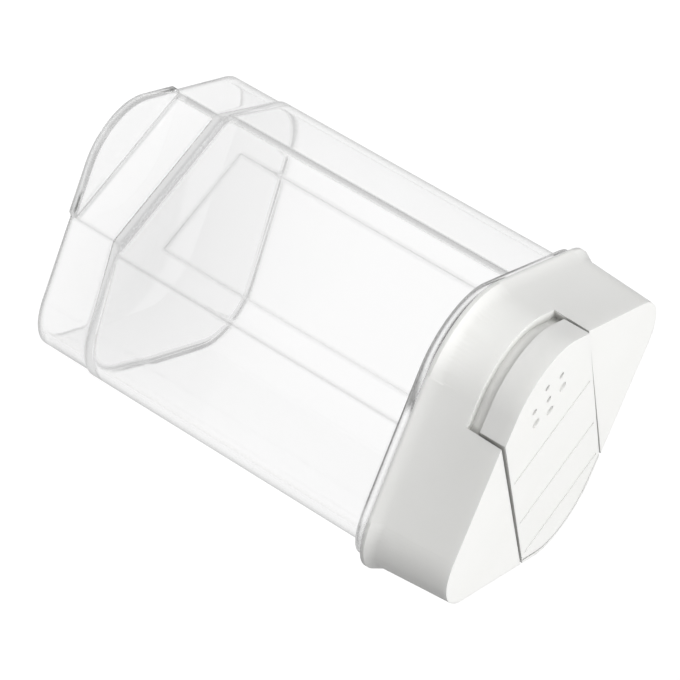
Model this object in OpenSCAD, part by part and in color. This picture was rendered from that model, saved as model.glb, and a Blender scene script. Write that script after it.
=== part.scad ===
/* [Overall outline] */
// Width across the flat sides of the cap's top, which all outlines are drawn in or out from
width = 50; // [48:0.5:60]
// Radius of the outline's front and back corners
corner_r = 12; // [10:0.5:14]
// Radius of the cap's left and right corners
side_r = 10.5; // [7:0.5:14]

/* [Jar body] */
// How far the jar's walls are drawn in from the cap's outline
wall_inset = 0.5; // [0.3:0.1:0.6]
// Radius of the jar's left and right corners
jar_side_r = 12.2; // [8:0.1:14]
// Height of the walls between the foot and the rim band
body_h = 57.8; // [40:0.2:90]
// Thickness of the clear walls
jar_wall = 1.6; // [1.2:0.1:2]
// Thickness of the raised floor
floor_t = 1.6; // [1.2:0.1:2]
// Height of the middle of the floor above the top of the foot
floor_rise = 1.3; // [1:0.1:2]
// Slope of the floor in degrees, up from the front panel to the back corner
floor_tilt = 5.5; // [3:0.5:6]
// Height of the foot under the walls
foot_h = 10.7; // [9:0.1:18]
// How far the foot is drawn in from the walls above it
foot_inset = 0.4; // [0.3:0.1:0.8]

/* [Front panel] */
// Distance of the flat front panel from the middle of the jar
panel_y = 18.7; // [16:0.1:20]
// How far the foot's flat stands in front of the panel
foot_flat_step = 1; // [0.6:0.1:3]
// Radius of the front corner of the foot's plate
plate_r = 11; // [9:0.5:15]
// Thickness of that plate, which fills the cut corner at the bottom
plate_t = 1.3; // [0.8:0.1:2]
// Width of the label recess on the panel
label_w = 21.6; // [14:0.2:26]
// Height of the label recess
label_h = 50; // [30:0.5:51]
// Distance of the label recess from the top of the foot
label_lift = 6.1; // [2:0.1:6.5]
// Depth of the label recess
label_depth = 0.3; // [0.2:0.05:0.5]

/* [Rim and neck] */
// Height of the full-width band under the cap
band_h = 1.6; // [1.2:0.1:3]
// How far the band stands out of the walls
band_out = 1.1; // [0.8:0.1:1.4]
// Thickness of the shelf that closes the cut corner under the neck
shelf_t = 1.4; // [1:0.1:1.6]
// Height of the neck inside the cap
neck_h = 5.8; // [4:0.1:6]
// How far the neck is drawn in from the outline
neck_inset = 0.8; // [0.8:0.1:1.2]
// Height of the low bead around the neck
bead_h = 1.2; // [0.8:0.1:1.6]
// How far the bead stands out of the neck
bead_out = 0.2; // [0.1:0.05:0.2]

/* [Cap] */
// Height of the cap
cap_h = 15.6; // [15.4:0.1:20]
// How far each side of the cap leans out down to its lower edge
cap_lean = 1; // [0.8:0.1:2]
// Thickness of the side lands and of the cap's thinnest outer wall
cap_wall = 1.6; // [1.2:0.1:1.6]
// How far the lower rim of the cap stands out below the sides
rim_out = 0.9; // [0.5:0.1:1.5]
// Height of the lower rim of the cap
rim_h = 0.7; // [0.5:0.1:1]
// Height of the flare from the sides of the cap out to the rim
flare_h = 2.2; // [1:0.1:3]
// Gap between the neck and the inside of the cap
neck_gap = 0.3; // [0.3:0.05:0.4]
// Gap between the band and the lower edge of the cap
seat_gap = 0.3; // [0.3:0.05:0.5]

/* [Channel of the flap] */
// Width of the flap
flap_w = 23.6; // [22:0.2:24]
// Gap between the flap and each side of its channel
side_gap = 0.5; // [0.4:0.1:0.8]
// Depth of the deck under the front of the flap
deck_depth = 6.6; // [6.4:0.1:6.8]
// How much deeper the well under the back of the flap is
well_step = 1.4; // [1.4:0.1:1.5]
// Distance from the hinge back to the step down into the well
well_start = 4; // [3:0.5:5]
// Thickness of the deck and of the channel's side walls
deck_t = 1.4; // [1.2:0.1:1.5]
// Thickness of the thin rim behind the flap
back_rim_t = 0.7; // [0.6:0.1:1]
// Gap between the back end of the flap and that rim
back_gap = 0.4; // [0.4:0.1:0.8]
// Depth of the two slits that free the thin rim at its ends
slit_depth = 3; // [2:0.2:4]

/* [Pouring chamber] */
// Gap between the front lip of the flap and the chamber wall behind it
chamber_gap = 0.4; // [0.4:0.05:0.6]
// Thickness of the chamber wall and of the pad's wall
chamber_t = 1.2; // [1:0.1:1.4]
// Gap between the chamber wall or the pad and the shut flap above it
seal_gap = 0.3; // [0.3:0.05:0.5]
// Diameter of the round pad that shuts the sprinkle holes
pad_d = 11; // [10.8:0.1:12]
// Thickness of the top of the pad
pad_t = 1.4; // [1:0.1:2]
// Width of the cross bar that carries the pad
bar_w = 4; // [3:0.5:6]
// Room between the pad and the chamber's back wall
pad_room = 2; // [1:0.1:2.4]
// Gap between the raised step around the chamber and the lip and ribs of the flap above it
sill_gap = 0.4; // [0.3:0.05:0.6]

/* [Flap] */
// How far the front end of the flap stands above the side lands, which its back end is level with
flap_proud = 0.5; // [0.2:0.1:0.8]
// Thickness of the flap's top plate at its back end
flap_t = 1.2; // [1:0.1:1.4]
// Depth of the curved front lip below the side lands
lip_depth = 4.4; // [4:0.1:4.6]
// Thickness of the front lip and of the flap's side ribs
lip_t = 1.1; // [1:0.1:1.4]
// Depth of the side ribs at the back end of the flap
rib_end_h = 1; // [0.6:0.1:1.2]
// Places of the three cross grooves, measured back from the middle
groove_y = [-7.9, 8.1, 20.5];
// Width of a cross groove
groove_w = 0.5; // [0.3:0.1:0.8]
// Depth of a cross groove
groove_depth = 0.2; // [0.1:0.05:0.4]
// Distance of a cross groove's ends from the flap's sides
groove_end = 0.9; // [0.5:0.1:2]
// Distance from the middle of the jar to the middle of the sprinkle holes
holes_y = 20.1; // [19.6:0.1:20.2]
// Distance between neighbouring sprinkle holes of a column
hole_pitch = 4.1; // [3.2:0.1:4.2]
// Distance between the columns of sprinkle holes
column_pitch = 3.8; // [3.2:0.1:3.9]
// Diameter of the small sprinkle holes
small_hole_d = 1.2; // [1:0.1:1.6]
// Diameter of the larger sprinkle hole at the back end of each column
large_hole_d = 1.8; // [1.4:0.1:2]

/* [Hinge of the flap] */
// Distance of the hinge in front of the middle of the jar
hinge_y = 7.9; // [7.5:0.1:8.1]
// Depth of the hinge below the side lands
hinge_depth = 2.5; // [2.4:0.1:2.6]
// Diameter of the two moulded hinge pins
pin_d = 2.2; // [1.8:0.1:2.2]
// How far each pin reaches into the channel's side wall
pin_reach = 1.2; // [0.8:0.1:1.4]
// Gap all round a pin in its hole
pin_gap = 0.08; // [0.05:0.01:0.1]

/* [Hidden] */
$fn = 96;
// Overshoot of a cut past the face that it opens, and of a joint into its neighbour
cut = 0.5;
// Length that reaches past every outline
far = width;
// How far a corner's arc starts inside the straight side, so that the two cross cleanly
corner_step = 0.02;

floor_z = foot_h + floor_rise;
foot_in = wall_inset + foot_inset;
wall_top_z = foot_h + body_h;
band_top_z = wall_top_z + band_h;
neck_top_z = band_top_z + neck_h;
foot_flat_y = panel_y + foot_flat_step;
foot_flat_w = 2 * (width / sqrt(2) - foot_in * sqrt(2) - foot_flat_y);

cap_low_z = band_top_z + seat_gap;
cap_top_z = cap_low_z + cap_h;
land_low_z = cap_top_z - cap_wall;
bore_inset = neck_inset - neck_gap;
bore_top_z = neck_top_z + seat_gap;
channel_w = flap_w + 2 * side_gap;
channel_out_w = channel_w + 2 * deck_t;
deck_z = cap_top_z - deck_depth;
well_z = deck_z - well_step;
well_y = hinge_y - well_start;
// Where the slits start, inside the back end of the channel
slit_y = width / 3;
hinge_z = cap_top_z - hinge_depth;

flap_low_z = cap_top_z - flap_t;
lip_low_z = cap_top_z - lip_depth;
rib_w = flap_w - 2 * lip_t;
rib_back_y = hinge_y - pin_d;
// Where the flap's straight sides meet its back corner
side_end_y = width / sqrt(2) - (back_rim_t + back_gap) * sqrt(2) - flap_w / 2;
// Distance of the flap's front end, and of its back end, from the middle of the jar
flap_front_y = corner_reach(corner_r);
flap_back_y = flap_front_y - back_rim_t - back_gap;

chamber_inset = lip_t + chamber_gap;
chamber_w = rib_w - 2 * chamber_gap;
chamber_back_y = holes_y - pad_d / 2 - chamber_t - pad_room;
chamber_top_z = flap_low_z - seal_gap;

// Distance of a rounded corner's middle from the middle of the jar
function corner_reach(r) = width / sqrt(2) - r * (sqrt(2) - 1);

// Height of the flap's top at a distance y back from the middle
function flap_top(y) = cap_top_z + flap_proud * (flap_back_y - y) / (flap_back_y + flap_front_y);

// Two ends of the rounded corner that faces the angle a, with the outline drawn in by d
function corner_ends(r, a, d) =
    let (c = width / sqrt(2) - r * sqrt(2))
        [for (s = [-45, 45]) [c * cos(a) + (r - d) * cos(a + s), c * sin(a) + (r - d) * sin(a + s)]];

// The outline: a square that stands on its front corner, drawn in by d, or out by a negative d,
// with a radius s on the left and right corners and r on the other two
module outline(d = 0, s = side_r, r = corner_r) {
    radii = [s, r, s, r];
    polygon([for (i = [0:3]) each corner_ends(radii[i], 90 * i, d)]);
    for (i = [0:3])
        rotate(90 * i)
            translate([width / sqrt(2) - radii[i] * sqrt(2), 0])
                circle(r = radii[i] - d - corner_step);
}

// Solid with that outline between two heights
module block(d, z0, z1, s = side_r) {
    translate([0, 0, z0])
        linear_extrude(height = z1 - z0)
            outline(d, s);
}

// Strip along the flap's direction, w wide, between two distances and two heights
module strip(w, y0, y1, z0, z1) {
    translate([-w / 2, y0, z0])
        cube([w, y1 - y0, z1 - z0]);
}

// Everything under the sloping floor, t below its top
module under_floor(t) {
    translate([0, 0, floor_z])
        rotate([floor_tilt, 0, 0])
            strip(2 * far, -far, far, -far, -t);
}

module jar_walls() {
    difference() {
        block(wall_inset, foot_h, wall_top_z, jar_side_r);
        strip(2 * far, -far, -panel_y, foot_h - cut, wall_top_z + cut);
        strip(label_w, -panel_y - cut, label_depth - panel_y,
              foot_h + label_lift, foot_h + label_lift + label_h);
    }
    difference() {
        block(foot_in, 0, foot_h, jar_side_r);
        strip(2 * far, -far, -foot_flat_y, -cut, foot_h + cut);
    }
}

// Plate at the bottom of the cut corner
module foot_plate() {
    intersection() {
        linear_extrude(height = plate_t)
            outline(r = plate_r);
        strip(foot_flat_w, -far, cut - foot_flat_y, 0, plate_t);
    }
}

module jar_hollow() {
    difference() {
        block(wall_inset + jar_wall, 0, wall_top_z + shelf_t + cut, jar_side_r);
        strip(2 * far, -far, jar_wall - panel_y, -cut, wall_top_z + shelf_t);
        under_floor(0);
    }
}

module foot_hollow() {
    intersection() {
        difference() {
            block(foot_in + jar_wall, -cut, wall_top_z, jar_side_r);
            strip(2 * far, -far, jar_wall - foot_flat_y, -2 * cut, wall_top_z + cut);
        }
        under_floor(floor_t);
    }
}

module jar_body() color([0.9, 0.93, 0.95, 0.45]) {
    difference() {
        union() {
            jar_walls();
            foot_plate();
            block(wall_inset - band_out, wall_top_z, band_top_z);
            block(neck_inset, band_top_z, neck_top_z);
            block(neck_inset - bead_out, neck_top_z - 2 * bead_h, neck_top_z - bead_h);
        }
        jar_hollow();
        foot_hollow();
        block(neck_inset + jar_wall, wall_top_z + shelf_t, neck_top_z + cut);
    }
}

// Leaning solid with the outline, drawn out by d0 at the height z0 and by d1 at the height z1
module leaning(d0, d1, z0, z1) {
    translate([0, 0, z0])
        linear_extrude(height = z1 - z0, scale = (width + 2 * d1) / (width + 2 * d0))
            outline(-d0);
}

module cap_outside() {
    rim_d = cap_lean + rim_out;
    leaning(cap_lean, 0, cap_low_z, cap_top_z);
    block(-rim_d, cap_low_z, cap_low_z + rim_h);
    leaning(rim_d, cap_lean * (1 - (rim_h + flare_h) / cap_h), cap_low_z + rim_h, cap_low_z + rim_h + flare_h);
}

// Block under the flap that the channel is cut into
module channel_block() {
    strip(channel_out_w, -far, -well_y, deck_z - deck_t, cap_top_z + cut);
    strip(channel_out_w, -well_y - deck_t, far, well_z - deck_t, cap_top_z + cut);
}

module cap_hollow() {
    block(bore_inset, cap_low_z - cut, bore_top_z);
    difference() {
        block(cap_wall, bore_top_z - cut, land_low_z);
        channel_block();
    }
}

module channel_cut() {
    strip(channel_w, -far, -well_y, deck_z, cap_top_z + cut);
    intersection() {
        strip(channel_w, -well_y - cut, far, well_z, cap_top_z + 2 * cut);
        block(back_rim_t, well_z - cut, cap_top_z + cut);
    }
    for (side = [-1, 1])
        translate([side * (flap_w + side_gap) / 2, 0, 0])
            strip(side_gap, slit_y, far, cap_top_z - slit_depth, cap_top_z + cut);
}

// Inside of the pouring chamber, or its outside with no inset
module chamber(t, z0, z1) {
    intersection() {
        block(chamber_inset + t, z0, z1);
        strip(chamber_w - 2 * t, -far, -chamber_back_y - t, z0, z1);
    }
}

// Low step around the chamber, as wide as the channel, under the lip and the ribs of the flap
module sill() {
    intersection() {
        block(chamber_inset, deck_z - cut, lip_low_z - sill_gap);
        strip(channel_w + 2 * cut, -far, -chamber_back_y, deck_z - cut, lip_low_z);
    }
}

module sealing_pad() {
    difference() {
        union() {
            translate([0, -holes_y, deck_z - deck_t])
                cylinder(h = chamber_top_z - deck_z + deck_t, d = pad_d);
            strip(chamber_w - chamber_t, -holes_y - bar_w / 2, -holes_y + bar_w / 2,
                  deck_z - deck_t, deck_z);
        }
        translate([0, -holes_y, deck_z - deck_t - cut])
            cylinder(h = chamber_top_z - pad_t - deck_z + deck_t + cut, d = pad_d - 2 * chamber_t);
    }
}

module cap_shell() color([0.94, 0.94, 0.93]) {
    difference() {
        union() {
            difference() {
                cap_outside();
                cap_hollow();
                channel_cut();
            }
            chamber(0, deck_z - cut, chamber_top_z);
            sill();
        }
        chamber(chamber_t, deck_z - deck_t - cut, chamber_top_z + cut);
        translate([-channel_out_w / 2 - cut, -hinge_y, hinge_z])
            rotate([0, 90, 0])
                cylinder(h = channel_out_w + 2 * cut, d = pin_d + 2 * pin_gap);
    }
    sealing_pad();
}

module flap_plan() {
    intersection() {
        outline();
        translate([-flap_w / 2, -far])
            square([flap_w, far + cut]);
    }
    intersection() {
        outline(back_rim_t + back_gap);
        translate([-flap_w / 2, 0])
            square([flap_w, far]);
    }
}

// Curved front lip with a rib back along each side
module flap_skirt() {
    translate([0, 0, lip_low_z])
        linear_extrude(height = flap_low_z + cut - lip_low_z)
            intersection() {
                difference() {
                    outline();
                    intersection() {
                        outline(lip_t);
                        square([rib_w, 2 * far], center = true);
                    }
                }
                translate([-flap_w / 2, -far])
                    square([flap_w, far - rib_back_y]);
            }
}

// Ribs that get lower towards the back, so that the back end can be pressed down
module back_ribs() {
    for (x = [-flap_w / 2, flap_w / 2 - lip_t])
        translate([x, 0, 0])
            rotate([90, 0, 90])
                linear_extrude(height = lip_t)
                    polygon([[-hinge_y, flap_low_z + cut], [-hinge_y, lip_low_z], [-rib_back_y, lip_low_z],
                             [side_end_y, flap_low_z - rib_end_h], [side_end_y, flap_low_z + cut]]);
}

// Top plate, level underneath, with its top sloping down to the back
module flap_plate() {
    intersection() {
        translate([0, 0, flap_low_z])
            linear_extrude(height = 2 * flap_t)
                flap_plan();
        translate([-flap_w, 0, 0])
            rotate([90, 0, 90])
                linear_extrude(height = 2 * flap_w)
                    polygon([[-far, flap_low_z - cut], [far, flap_low_z - cut],
                             [far, flap_top(far)], [-far, flap_top(-far)]]);
    }
}

module sprinkle_hole(x, y, d) {
    translate([x, y, flap_low_z - cut])
        cylinder(h = flap_t + flap_proud + 2 * cut, d = d, $fn = 32);
}

// Three columns of holes, two in each outer one and three in the middle
module sprinkle_holes() {
    for (column = [-1, 0, 1]) {
        rows = column == 0 ? 1 : 0.5;
        for (row = [-rows : 1 : rows])
            sprinkle_hole(column * column_pitch, row * hole_pitch - holes_y,
                          row == rows ? large_hole_d : small_hole_d);
    }
}

module flap() color([0.97, 0.97, 0.96]) {
    difference() {
        union() {
            flap_plate();
            flap_skirt();
            back_ribs();
            for (side = [-1, 1])
                translate([side * (flap_w / 2 - lip_t / 2), -hinge_y, hinge_z])
                    rotate([0, side * 90, 0])
                        cylinder(h = lip_t / 2 + side_gap + pin_reach, d = pin_d);
        }
        sprinkle_holes();
        for (y = groove_y)
            strip(flap_w - 2 * groove_end, y - groove_w / 2, y + groove_w / 2,
                  flap_top(y) - groove_depth, flap_top(y) + cut);
    }
}

jar_body();
cap_shell();
flap();
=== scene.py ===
import bpy
import math
from mathutils import Matrix, Vector

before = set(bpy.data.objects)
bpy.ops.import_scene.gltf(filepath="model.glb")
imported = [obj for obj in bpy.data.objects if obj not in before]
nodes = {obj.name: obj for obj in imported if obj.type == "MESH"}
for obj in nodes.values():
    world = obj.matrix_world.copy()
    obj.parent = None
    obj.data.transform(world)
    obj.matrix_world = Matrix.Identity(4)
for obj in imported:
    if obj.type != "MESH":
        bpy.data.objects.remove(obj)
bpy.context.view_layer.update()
print("frame loaded:", sorted(nodes))


def hexToLinear(hexColour):
    channels = [int(hexColour[i:i + 2], 16) / 255 for i in (1, 3, 5)]
    bent = [c / 12.92 if c <= 0.04045 else ((c + 0.055) / 1.055) ** 2.4 for c in channels]
    return (*bent, 1.0)


def addNode(tree, kind, settings=None, values=None, links=None):
    # settings are attributes, values and links go to sockets by name or number
    node = tree.nodes.new(kind)
    for name, value in (settings or {}).items():
        setattr(node, name, value)
    for name, value in (values or {}).items():
        node.inputs[name].default_value = value
    for output, name in (links or []):
        tree.links.new(output, node.inputs[name])
    return node


def newMaterial(name):
    material = bpy.data.materials.new(name)
    material.use_nodes = True
    material.node_tree.nodes.clear()
    return material, material.node_tree


def dress(node, material):
    mesh = nodes[node].data
    mesh.materials.clear()
    mesh.materials.append(material)


# camera: the jar lies across the picture, so the camera is rolled as well as turned
cameraSet = {
    "azimuth": 19.29,       # degrees round from straight in front
    "elevation": 20.58,     # degrees above level
    "roll": 120.63,         # degrees, turns the jar onto its side in the picture
    "place": (0.15701, -0.44229, 0.22007),
    "lens": 157.1,          # mm
    "sensor": 36.0,         # mm
    "clip": (0.01, 50.0),   # m, nearest and farthest that shows
}


def makeCamera(s):
    a, e, roll = (math.radians(s[k]) for k in ("azimuth", "elevation", "roll"))
    forward = -Vector((math.sin(a) * math.cos(e), -math.cos(a) * math.cos(e), math.sin(e)))
    levelRight = forward.cross(Vector((0, 0, 1))).normalized()
    levelUp = levelRight.cross(forward)
    right = math.cos(roll) * levelRight + math.sin(roll) * levelUp
    up = -math.sin(roll) * levelRight + math.cos(roll) * levelUp
    turn = Matrix((right, up, -forward)).transposed().to_4x4()
    data = bpy.data.cameras.new("camera")
    data.lens, data.sensor_width = s["lens"], s["sensor"]
    data.clip_start, data.clip_end = s["clip"]
    camera = bpy.data.objects.new("camera", data)
    bpy.context.scene.collection.objects.link(camera)
    camera.matrix_world = Matrix.Translation(s["place"]) @ turn
    bpy.context.scene.camera = camera


makeCamera(cameraSet)
print("camera placed")


# clear styrene, injection moulded and polished: sharp reflections and a little flow waviness; its
# corners and the walls seen along their face get painted shade, soft grey lines painted into its
# colour where light bends and travels far through the plastic
clearStyreneSet = {
    "colour": "#FEFEFE",
    # painted shade: the grey painted into corners and into walls seen along their face
    "paintedCornerShade": "#C8C8C8",
    "cornerMm": 1.4,        # how far in from a corner the grey reaches
    "cornerSamples": 8,
    # how far the surface has turned where the grey starts and where it is full, and its share
    "cornerBand": (0.0005, 0.006, 0.2),     # soft grey on both sides of a corner
    "cornerLine": (0.02, 0.055, 0.75),      # thin line at the corner itself
    "cornerFar": 0.25,      # share of the grey left behind the nearest face
    "grazeFrom": 0.7,       # a wall seen along its face greys too, from this much facing away
    "grazeFull": 0.92,
    "ior": 1.5,
    "roughness": 0.02,
    "waveMm": 14.0,         # width of the slow waves that the flowing plastic leaves
    "waveHeightMm": 0.006,
    "waveDetail": (1.0, 0.4),       # finer waves on the slow ones, and how strong they are
    "trapDepth": 3,         # light still inside the walls after this many turns is let out straight
    "trapColour": "#FDFDFD",
    "shadowColour": "#FAFAFA",
}


def clearStyrene(s):
    material, tree = newMaterial("clearStyreneMoulded")
    place = addNode(tree, "ShaderNodeTexCoord").outputs["Object"]
    rounded = addNode(tree, "ShaderNodeBevel", settings={"samples": s["cornerSamples"]},
                      values={"Radius": s["cornerMm"] / 1000})
    detail, fineness = s["waveDetail"]
    waves = addNode(tree, "ShaderNodeTexNoise",
                    values={"Scale": 1000 / s["waveMm"], "Detail": detail, "Roughness": fineness},
                    links=[(place, "Vector")])
    bump = addNode(tree, "ShaderNodeBump",
                   values={"Strength": 1.0, "Distance": s["waveHeightMm"] / 1000},
                   links=[(waves.outputs["Fac"], "Height"), (rounded.outputs[0], "Normal")])
    # corners: painted shade where the rounded surface turns away from the plain one
    plain = addNode(tree, "ShaderNodeNewGeometry").outputs["Normal"]
    match = addNode(tree, "ShaderNodeVectorMath", settings={"operation": "DOT_PRODUCT"},
                    links=[(plain, 0), (rounded.outputs[0], 1)])
    alike = addNode(tree, "ShaderNodeMath", settings={"operation": "ABSOLUTE"},
                    links=[(match.outputs["Value"], 0)])
    band, line = (addNode(tree, "ShaderNodeMapRange",
                          values={"From Min": 1 - start, "From Max": 1 - full, "To Max": share},
                          links=[(alike.outputs[0], "Value")])
                  for start, full, share in (s["cornerBand"], s["cornerLine"]))
    corner = addNode(tree, "ShaderNodeMath", settings={"operation": "ADD"},
                     links=[(band.outputs[0], 0), (line.outputs[0], 1)])
    # walls seen along their face get painted shade too
    facing = addNode(tree, "ShaderNodeLayerWeight", values={"Blend": 0.5},
                     links=[(rounded.outputs[0], "Normal")])
    graze = addNode(tree, "ShaderNodeMapRange",
                    values={"From Min": s["grazeFrom"], "From Max": s["grazeFull"]},
                    links=[(facing.outputs["Facing"], "Value")])
    grey = addNode(tree, "ShaderNodeMath", settings={"operation": "MAXIMUM"},
                   links=[(corner.outputs[0], 0), (graze.outputs[0], 1)])
    # the nearest face shows the grey in full, what lies behind it only a share
    path = addNode(tree, "ShaderNodeLightPath")
    nearness = addNode(tree, "ShaderNodeMapRange",
                       values={"From Max": 1.0, "To Min": 1.0, "To Max": s["cornerFar"]},
                       links=[(path.outputs["Ray Depth"], "Value")])
    shown = addNode(tree, "ShaderNodeMath", settings={"operation": "MULTIPLY"},
                    links=[(grey.outputs[0], 0), (nearness.outputs[0], 1)])
    # the painted shade goes into the colour that the light passes through
    tint = addNode(tree, "ShaderNodeMix", settings={"data_type": "RGBA"},
                   values={6: hexToLinear(s["colour"]), 7: hexToLinear(s["paintedCornerShade"])},
                   links=[(shown.outputs[0], 0)])
    shader = addNode(tree, "ShaderNodeBsdfPrincipled",
                     values={"IOR": s["ior"], "Roughness": s["roughness"],
                             "Transmission Weight": 1.0},
                     links=[(tint.outputs[2], "Base Color"), (bump.outputs["Normal"], "Normal")])
    # light on its way to the floor, and light caught inside a corner, passes straight through
    caught = addNode(tree, "ShaderNodeMath", settings={"operation": "GREATER_THAN"},
                     values={1: s["trapDepth"]}, links=[(path.outputs["Ray Depth"], 0)])
    passing = addNode(tree, "ShaderNodeMath", settings={"operation": "MAXIMUM"},
                      links=[(path.outputs["Is Shadow Ray"], 0),
                             (path.outputs["Is Diffuse Ray"], 1)])
    straight = addNode(tree, "ShaderNodeMath", settings={"operation": "MAXIMUM"},
                       links=[(caught.outputs[0], 0), (passing.outputs[0], 1)])
    shade = addNode(tree, "ShaderNodeMix", settings={"data_type": "RGBA"},
                    values={6: hexToLinear(s["trapColour"]), 7: hexToLinear(s["shadowColour"])},
                    links=[(passing.outputs[0], 0)])
    clear = addNode(tree, "ShaderNodeBsdfTransparent", links=[(shade.outputs[2], "Color")])
    both = addNode(tree, "ShaderNodeMixShader",
                   links=[(straight.outputs[0], 0), (shader.outputs["BSDF"], 1),
                          (clear.outputs[0], 2)])
    addNode(tree, "ShaderNodeOutputMaterial", links=[(both.outputs[0], "Surface")])
    return material


# white polypropylene, injection moulded with a satin face: a soft broad shine, a fine grain and a
# slightly milky body; its grooves, holes and gaps get painted shade, grey painted into its colour
# because little light gets into them
whitePolypropyleneSet = {
    "colour": "#F4F4F2",
    "shadeColour": "#EFEFEC",
    "cloudMm": 14.0,        # slow change of tone across a moulded face, between the two colours
    "cloudDetail": 2.0,
    "paintedRecessShade": "#CACAC7",
    "recessMm": 1.5,        # grooves, holes and gaps narrower than this look darker
    "recessFrom": 0.8,      # openness where the darkening starts, and where it is full
    "recessFull": 0.3,
    "recessSamples": 8,
    "ior": 1.49,
    "roughness": 0.34,
    "grainMm": 0.5,         # the real grain is finer, drawn coarser so that it shows
    "grainHeightMm": 0.004,
    "grainDetail": 2.0,
    "grainStrength": 0.6,
    "milky": 0.35,          # light goes a little way into the plastic
    "milkyMm": 1.2,
}


def whitePolypropylene(s):
    material, tree = newMaterial("whitePolypropyleneMoulded")
    place = addNode(tree, "ShaderNodeTexCoord").outputs["Object"]
    cloud = addNode(tree, "ShaderNodeTexNoise",
                    values={"Scale": 1000 / s["cloudMm"], "Detail": s["cloudDetail"]},
                    links=[(place, "Vector")])
    tone = addNode(tree, "ShaderNodeMix", settings={"data_type": "RGBA"},
                   values={6: hexToLinear(s["shadeColour"]), 7: hexToLinear(s["colour"])},
                   links=[(cloud.outputs["Fac"], 0)])
    # painted shade: narrow grooves, holes and gaps are painted grey
    openness = addNode(tree, "ShaderNodeAmbientOcclusion", settings={"samples": s["recessSamples"]},
                       values={"Distance": s["recessMm"] / 1000})
    recess = addNode(tree, "ShaderNodeMapRange",
                     values={"From Min": s["recessFrom"], "From Max": s["recessFull"]},
                     links=[(openness.outputs["AO"], "Value")])
    shaded = addNode(tree, "ShaderNodeMix", settings={"data_type": "RGBA"},
                     values={7: hexToLinear(s["paintedRecessShade"])},
                     links=[(recess.outputs[0], 0), (tone.outputs[2], 6)])
    grain = addNode(tree, "ShaderNodeTexNoise",
                    values={"Scale": 1000 / s["grainMm"], "Detail": s["grainDetail"]},
                    links=[(place, "Vector")])
    bump = addNode(tree, "ShaderNodeBump",
                   values={"Strength": s["grainStrength"], "Distance": s["grainHeightMm"] / 1000},
                   links=[(grain.outputs["Fac"], "Height")])
    shader = addNode(tree, "ShaderNodeBsdfPrincipled",
                     values={"IOR": s["ior"], "Roughness": s["roughness"],
                             "Subsurface Weight": s["milky"], "Subsurface Radius": (1.0, 1.0, 1.0),
                             "Subsurface Scale": s["milkyMm"] / 1000},
                     links=[(shaded.outputs[2], "Base Color"), (bump.outputs["Normal"], "Normal")])
    addNode(tree, "ShaderNodeOutputMaterial", links=[(shader.outputs["BSDF"], "Surface")])
    return material


dress("jar_body", clearStyrene(clearStyreneSet))
whitePlastic = whitePolypropylene(whitePolypropyleneSet)
dress("cap_shell", whitePlastic)
dress("flap", whitePlastic)
print("materials made")


# edges of a moulding are never sharp: a small round on each
edgeSet = {
    "weldMm": 0.05,         # closes the tiny step where a corner's arc starts
    "cap_shell": 0.25,      # mm, width of the round
    "flap": 0.08,
    "segments": 3,
    "angle": 30,            # degrees, flatter edges stay smooth
    "flat": 0.2,            # degrees, triangles of the flap flatter than this join into one face
}


def roundEdges(node, s):
    piece = nodes[node]
    weld = piece.modifiers.new("weld", "WELD")
    weld.merge_threshold = s["weldMm"] / 1000
    if node == "flap":      # its top is one flat face round the holes and shades evenly as such
        flats = piece.modifiers.new("flats", "DECIMATE")
        flats.decimate_type = "DISSOLVE"
        flats.angle_limit = math.radians(s["flat"])
    bevel = piece.modifiers.new("edges", "BEVEL")
    bevel.width = s[node] / 1000
    bevel.segments = s["segments"]
    bevel.limit_method = "ANGLE"
    bevel.angle_limit = math.radians(s["angle"])
    for face in piece.data.polygons:
        face.use_smooth = True
    normals = piece.modifiers.new("normals", "WEIGHTED_NORMAL")
    normals.keep_sharp = True


for node in ("cap_shell", "flap"):
    roundEdges(node, edgeSet)
print("edges rounded")


# floor and light: matt paper with no texture to see, and soft light from the front
studioSet = {
    "floorColour": "#8C8C8C",
    "floorSize": 4.0,               # m from the middle to the edge
    "floorDrop": 0.0001,            # m below the foot, so that the two faces don't flicker
    "floorLift": 0.84,              # added to what the camera sees of it, so that it reads white
    "floorLiftThrough": 0.35,       # the same, seen through the jar
    "floorLiftMirrored": 0.42,      # the same, seen in what the jar mirrors
    "lightWay": (-0.61, -0.64, 0.46),       # the side that the soft light comes from
    "worldTurn": (-0.5, 1.0),       # cosine to that side where it starts and where it is full
    "worldFar": 0.0,                # brightness of the surroundings on the side away from it
    "worldNear": 1.0,
    "lamps": [
        # name, place, aim, size, watts
        ("keyLamp", (-0.04, -0.36, 1.0), (0, 0, 0.04), 0.9, 7.0),
        ("fillLamp", (0.3, -0.9, 0.5), (0, 0, 0.04), 0.8, 3.2),
    ],
}


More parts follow.
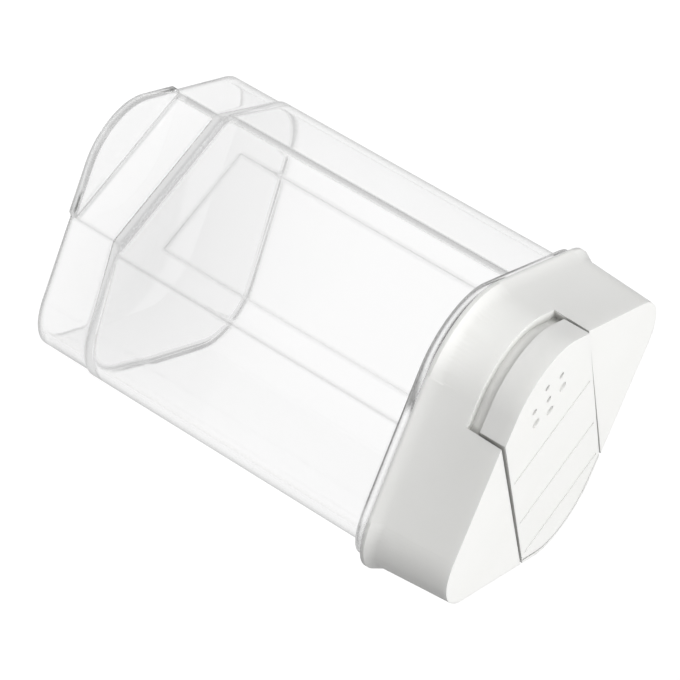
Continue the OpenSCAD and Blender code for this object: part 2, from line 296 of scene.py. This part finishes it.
def makeFloor(s):
    far = s["floorSize"]
    corners = [(-far, -far, 0), (far, -far, 0), (far, far, 0), (-far, far, 0)]
    mesh = bpy.data.meshes.new("floor")
    mesh.from_pydata(corners, [], [(0, 1, 2, 3)])
    floor = bpy.data.objects.new("floor", mesh)
    floor.location.z = -s["floorDrop"]
    bpy.context.scene.collection.objects.link(floor)
    material, tree = newMaterial("studioFloorPaper")
    path = addNode(tree, "ShaderNodeLightPath")
    mirrored = addNode(tree, "ShaderNodeMath", settings={"operation": "MULTIPLY"},
                       values={1: s["floorLiftMirrored"]},
                       links=[(path.outputs["Is Glossy Ray"], 0)])
    through = addNode(tree, "ShaderNodeMath", settings={"operation": "MULTIPLY_ADD"},
                      values={1: s["floorLiftThrough"]},
                      links=[(path.outputs["Is Transmission Ray"], 0), (mirrored.outputs[0], 2)])
    lift = addNode(tree, "ShaderNodeMath", settings={"operation": "MULTIPLY_ADD"},
                   values={1: s["floorLift"]},
                   links=[(path.outputs["Is Camera Ray"], 0), (through.outputs[0], 2)])
    paper = addNode(tree, "ShaderNodeBsdfDiffuse", values={"Color": hexToLinear(s["floorColour"])})
    glow = addNode(tree, "ShaderNodeEmission", links=[(lift.outputs[0], "Strength")])
    both = addNode(tree, "ShaderNodeAddShader", links=[(paper.outputs[0], 0), (glow.outputs[0], 1)])
    addNode(tree, "ShaderNodeOutputMaterial", links=[(both.outputs[0], "Surface")])
    mesh.materials.append(material)


def makeWorld(s):
    world = bpy.data.worlds.new("studio")
    bpy.context.scene.world = world
    world.use_nodes = True
    tree = world.node_tree
    tree.nodes.clear()
    # the camera sees white, straight, through the jar and in what it mirrors
    path = addNode(tree, "ShaderNodeLightPath")
    direct = addNode(tree, "ShaderNodeMath", settings={"operation": "MAXIMUM"},
                     links=[(path.outputs["Is Camera Ray"], 0),
                            (path.outputs["Is Transmission Ray"], 1)])
    seen = addNode(tree, "ShaderNodeMath", settings={"operation": "MAXIMUM"},
                   links=[(direct.outputs[0], 0), (path.outputs["Is Glossy Ray"], 1)])
    direction = addNode(tree, "ShaderNodeTexCoord").outputs["Generated"]
    facing = addNode(tree, "ShaderNodeVectorMath", settings={"operation": "DOT_PRODUCT"},
                     values={1: Vector(s["lightWay"]).normalized()}, links=[(direction, 0)])
    # everything else sees light that fades from one side to the other
    start, full = s["worldTurn"]
    soft = addNode(tree, "ShaderNodeMapRange",
                   values={"From Min": start, "From Max": full,
                           "To Min": s["worldFar"], "To Max": s["worldNear"]},
                   links=[(facing.outputs["Value"], "Value")])
    strength = addNode(tree, "ShaderNodeMix", settings={"data_type": "FLOAT"}, values={3: 1.0},
                       links=[(seen.outputs[0], 0), (soft.outputs[0], 2)])
    background = addNode(tree, "ShaderNodeBackground", links=[(strength.outputs[0], "Strength")])
    addNode(tree, "ShaderNodeOutputWorld", links=[(background.outputs[0], "Surface")])


def makeLamps(s):
    for name, place, aim, width, watts in s["lamps"]:
        lamp = bpy.data.lights.new(name, "AREA")
        lamp.shape, lamp.size, lamp.energy = "SQUARE", width, watts
        holder = bpy.data.objects.new(name, lamp)
        bpy.context.scene.collection.objects.link(holder)
        holder.location = place
        holder.rotation_euler = (Vector(aim) - Vector(place)).to_track_quat("-Z", "Y").to_euler()


makeFloor(studioSet)
makeWorld(studioSet)
makeLamps(studioSet)
bpy.context.scene.view_settings.view_transform = "Standard"
print("floor and light made")
